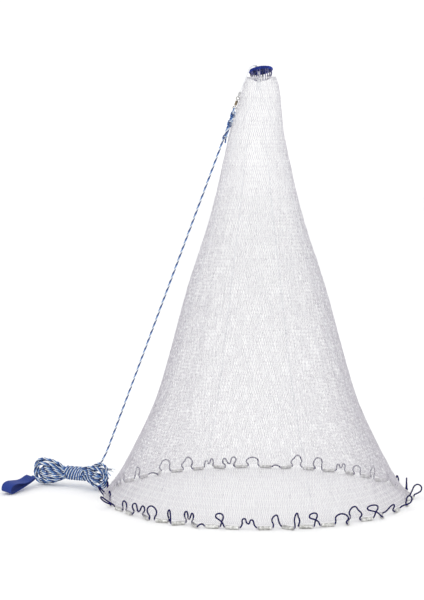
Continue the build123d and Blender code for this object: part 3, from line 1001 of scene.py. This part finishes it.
# ---------------------------------------------------------------- horn
def make_binding(blue, deep):
    """Twine wound round and round the horn's rim."""
    turn = crown_turn()
    bundle = Bundle()
    steps = BINDING_TURNS * BINDING_POINTS
    line = []
    for step in range(steps):
        wind = 2 * math.pi * step / BINDING_POINTS
        bearing = 2 * math.pi * step / steps
        wobble = 1 + sum(part * math.sin(count * bearing) for part, count in BINDING_WOBBLES)
        radius = BINDING_R + (BINDING_HALF_WIDTH - BINDING_TWINE) * wobble * math.cos(wind)
        height = (BINDING_HALF_HEIGHT - BINDING_TWINE) * wobble * math.sin(wind)
        point = Vector((radius * math.cos(bearing), radius * math.sin(bearing), height))
        line.append(np.array(turn @ point))
    bundle.strand(line, BINDING_TWINE, 6, True, 0)
    # Core that the turns lie on.
    core = []
    for step in range(CORE_POINTS):
        bearing = 2 * math.pi * step / CORE_POINTS
        point = Vector((BINDING_R * math.cos(bearing), BINDING_R * math.sin(bearing), 0))
        core.append(np.array(turn @ point))
    bundle.strand(core, BINDING_HALF_WIDTH - CORE_CLEARANCE * BINDING_TWINE, 14, True, 1)
    binding = bundle.build("horn_twine_binding", [blue, deep])
    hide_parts("horn_binding")


def make_lashing(navy, painted_highlight_twine):
    """Twine loops that hang from the binding into the neck of the net."""
    turn = crown_turn()
    bundle = Bundle()
    for number in range(LASHING_COUNT):
        bearing = 2 * math.pi * (number + 0.5) / LASHING_COUNT
        for leg in (-1, 1):
            points = []
            for radius, height in LASHING_ROUTE:
                share = (height - LASHING_ROUTE[0][1]) / (LASHING_FOOT[1] - LASHING_ROUTE[0][1])
                angle = bearing + LASHING_SPREAD * leg * (1 - share)
                angle += random.uniform(-LASHING_SWAY, LASHING_SWAY)
                radius += random.uniform(*LASHING_DRIFT)
                points.append(turn @ Vector((radius * math.cos(angle), radius * math.sin(angle), height)))
            line = even_line(smooth_line([tuple(p) for p in points], False, 6), LASHING_STEP)
            # Every third twine takes slot 1, the lilac one: painted highlight for light caught on the navy
            # lashing.
            slot = 1 if (number * 5 + leg) % 3 == 0 else 0
            bundle.laid(line, LASHING_TWINE, LASHING_PITCH, (slot, slot), 5)
    lashing = bundle.build("crown_lashing_twine", [navy, painted_highlight_twine])
    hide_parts("crown_lashing")


# ---------------------------------------------------------------- carried-over CAD pieces
def finish_cad(nodes, material):
    for node in nodes:
        obj = frame["nodes"][node]
        obj.data.materials.clear()
        obj.data.materials.append(material)


# ---------------------------------------------------------------- stage
def make_stage():
    floor_material, shader = new_material("floor", (0.95, 0.95, 0.95), 0.9)
    mottled(floor_material, shader, (0.945, 0.945, 0.945), (0.955, 0.955, 0.955), 3.0)
    corners = [(-1, -1), (1, -1), (1, 1), (-1, 1)]
    verts = [(x * FLOOR_HALF, y * FLOOR_HALF, GROUND) for x, y in corners]
    floor = make_mesh("floor", verts, [(0, 1, 2, 3)], [floor_material], smooth=False)
    world = bpy.data.worlds.new("studio")
    world.use_nodes = True
    background = world.node_tree.nodes["Background"]
    background.inputs["Color"].default_value = (1.0, 1.0, 1.0, 1.0)
    background.inputs["Strength"].default_value = WORLD_STRENGTH
    bpy.context.scene.world = world
    bpy.context.scene.view_settings.view_transform = "Standard"
    for name, location, energy, size in LAMPS:
        data = bpy.data.lights.new(name, "AREA")
        data.energy = energy
        data.size = size
        lamp = bpy.data.objects.new(name, data)
        lamp.location = location
        lamp.rotation_euler = (LAMP_TARGET - Vector(location)).to_track_quat("-Z", "Y").to_euler()
        bpy.context.scene.collection.objects.link(lamp)


# ---------------------------------------------------------------- assembly
make_camera()

rope_blue = fibre_material("rope_blue", (0.010, 0.020, 0.100), (0.028, 0.062, 0.260), sheen=0.1)
rope_white = fibre_material("rope_white", (0.620, 0.720, 0.800), (0.900, 0.930, 0.950), sheen=0.1)
rope_steel = fibre_material("rope_steel", (0.080, 0.190, 0.460), (0.170, 0.330, 0.680), sheen=0.1)
rope_slots = [rope_blue, rope_white, rope_steel]
hand_line, hand_line_path = make_hand_line(rope_slots)
rope_top = make_rope_top(rope_slots)
strap_knot = make_strap_knot(rope_slots)
tails = make_tails(rope_slots)
webbing = fibre_material("webbing", (0.016, 0.034, 0.180), (0.032, 0.066, 0.320), 0.85, 1400.0, 0.05)
thread = fibre_material("strap_thread", (0.03, 0.06, 0.22), (0.07, 0.12, 0.38), 0.6, 2000.0)
strap, stitching = make_strap(webbing, thread)

navy_a = fibre_material("lead_cord_navy", (0.003, 0.002, 0.040), (0.006, 0.004, 0.085), 0.7, 900.0, 0.0)
navy_b = fibre_material("lead_cord_light", (0.008, 0.006, 0.085), (0.016, 0.012, 0.170), 0.7, 900.0, 0.0)
make_lead_line([navy_a, navy_b])

net_a = plain_material("net_nylon_pale", (0.74, 0.73, 0.77), 0.5)
net_b = plain_material("net_nylon_grey", (0.57, 0.545, 0.60), 0.5)
net_c = plain_material("net_nylon_knot", (0.70, 0.68, 0.73), 0.5)
make_netting([net_a, net_b, net_c])
make_hem_ties(net_c)

binding_blue = fibre_material("binding_blue", (0.006, 0.012, 0.110), (0.040, 0.080, 0.480), 0.7, 240.0, 0.0)
binding_deep = fibre_material("binding_deep", (0.006, 0.012, 0.070), (0.012, 0.024, 0.130), 0.7)
make_binding(binding_blue, binding_deep)
lash_navy = fibre_material("lashing_navy", (0.008, 0.008, 0.035), (0.030, 0.028, 0.120), 0.65)
# Lilac twine for the lashing: painted highlight, a lit copy of the navy twine.
lash_painted_highlight = fibre_material("lashing_painted_highlight", (0.180, 0.170, 0.400), (0.420, 0.400, 0.720), 0.65)
make_lashing(lash_navy, lash_painted_highlight)

sinker_metal = metal_material("sinker_metal", (0.44, 0.44, 0.42), (0.88, 0.88, 0.86), 0.28)
finish_cad([n for n in frame["nodes"] if n.startswith("sinker_")], sinker_metal)
swivel_brass = metal_material("swivel_brass", (0.09, 0.07, 0.05), (0.34, 0.27, 0.18), 0.38)
finish_cad(["swivel_barrel"], swivel_brass)
swivel_wire = metal_material("swivel_wire", (0.14, 0.13, 0.12), (0.42, 0.40, 0.37), 0.35)
finish_cad(["swivel_upper_eye", "swivel_lower_eye"], swivel_wire)
crimp_metal = metal_material("crimp_metal", (0.40, 0.40, 0.41), (0.75, 0.75, 0.76), 0.36)
finish_cad(["braille_crimp"], crimp_metal)
braille_nylon = plain_material("braille_nylon", (0.90, 0.91, 0.93), 0.25)
finish_cad(["braille_lines"], braille_nylon)
horn_plastic = fibre_material("horn_plastic", (0.010, 0.020, 0.110), (0.020, 0.036, 0.170), 0.35, 300.0, 0.0)
finish_cad(["horn_ring"], horn_plastic)

make_stage()
